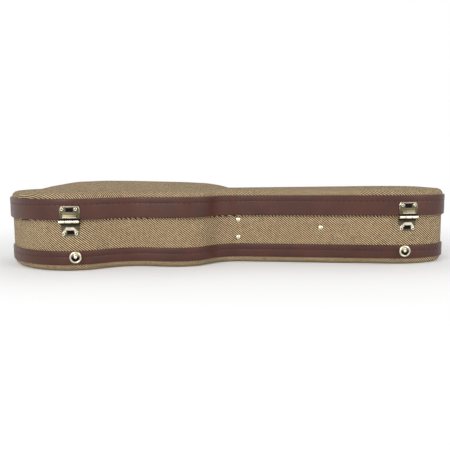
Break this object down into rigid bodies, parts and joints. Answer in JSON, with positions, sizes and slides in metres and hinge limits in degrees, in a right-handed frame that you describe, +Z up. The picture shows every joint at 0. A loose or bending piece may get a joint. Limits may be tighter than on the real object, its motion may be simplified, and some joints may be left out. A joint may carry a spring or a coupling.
{
  "type": "ukulele case",
  "caption": "Figure-eight instrument case with an arched hinged lid, padded inside, accessory compartment, draw latches and a side handle.",
  "frame": {"origin": "centre of the flat resting face under the tray, at mid length on the long centre line", "axes": "+X from the lower bout to the head end, +Z up through the lid, -Y towards the hinge side"},
  "size_m": [0.6804, 0.262, 0.1257],
  "materials": {
    "tweed": "tan and brown tweed cloth glued over plywood",
    "leather": "dark red-brown, semi-gloss, stitched",
    "plush": "short-pile plush over foam and board",
    "ribbon": "woven ribbon",
    "steel": "drawn",
    "metal": "polished pale gold plate"
  },
  "bodies": {
    "tray": {"bottom_panel": "tweed", "body_rim": "tweed", "body_binding": "leather", "locating_lip": "plush", "body_foam_lower_end": "plush", "body_foam_hinge_side": "plush", "body_foam_latch_side": "plush", "body_foam_head_end": "plush", "floor_pad": "plush", "neck_wall": "plush", "head_wall": "plush", "compartment_rivets": "metal", "compartment_ledge": "plush", "flap_hinge_blocks": "plush", "flap_hinge_rod": "steel", "hinge_left_body_leaf": "metal", "hinge_right_body_leaf": "metal", "hinge_left_pin": "metal", "hinge_right_pin": "metal", "hinge_body_rivets": "metal", "foot_left": "metal", "foot_right": "metal", "foot_studs": "metal", "latch_left_base": "metal", "latch_right_base": "metal", "latch_left_lever_pin": "metal", "latch_right_lever_pin": "metal", "latch_base_rivets": "metal", "handle_left_bracket": "metal", "handle_right_bracket": "metal", "handle_bracket_rivets": "metal"},
    "lid": {"lid_panel": "tweed", "lid_rim_lower_end": "tweed", "lid_rim_hinge_side": "tweed", "lid_rim_latch_side": "tweed", "lid_rim_head_end": "tweed", "lid_binding": "leather", "lid_pad": "plush", "hinge_left_lid_leaf": "metal", "hinge_right_lid_leaf": "metal", "hinge_lid_rivets": "metal", "latch_left_catch": "metal", "latch_right_catch": "metal", "catch_rivets": "metal"},
    "left_lever": {"latch_left_lever": "metal"},
    "right_lever": {"latch_right_lever": "metal"},
    "left_bail": {"latch_left_bail": "metal"},
    "right_bail": {"latch_right_bail": "metal"},
    "handle": {"handle_grip": "leather", "handle_loops": "metal"},
    "compartment_flap": {"compartment_lid": "plush", "pull_tab": "ribbon"}
  },
  "joints": [
    {"name": "lid_hinge", "type": "hinge", "parent": "tray", "child": "lid", "pos_m": [-0.21944, -0.12642, 0.071], "axis": [0.9978, 0.0657, 0], "range_deg": [0, 110]},
    {"name": "left_lever_pivot", "type": "hinge", "parent": "tray", "child": "left_lever", "pos_m": [-0.21954, 0.12482, 0.062], "axis": [0.9978, -0.0657, 0], "range_deg": [0, 100]},
    {"name": "left_bail_pivot", "type": "hinge", "parent": "left_lever", "child": "left_bail", "pos_m": [-0.21955, 0.12472, 0.051], "axis": [-0.9978, 0.0657, 0], "range_deg": [-176.7, 0]},
    {"name": "right_lever_pivot", "type": "hinge", "parent": "tray", "child": "right_lever", "pos_m": [0.26755, 0.09275, 0.062], "axis": [0.9978, -0.0657, 0], "range_deg": [0, 100]},
    {"name": "right_bail_pivot", "type": "hinge", "parent": "right_lever", "child": "right_bail", "pos_m": [0.26755, 0.09265, 0.051], "axis": [-0.9978, 0.0657, 0], "range_deg": [-176.7, 0]},
    {"name": "handle_swing", "type": "hinge", "parent": "tray", "child": "handle", "pos_m": [-0.1, 0.102, 0.054], "axis": [1, 0, 0], "range_deg": [0, 130]},
    {"name": "compartment_lid_hinge", "type": "hinge", "parent": "tray", "child": "compartment_flap", "pos_m": [0.133, 0, 0.0378], "axis": [0, 1, 0], "range_deg": [0, 34]}
  ]
}
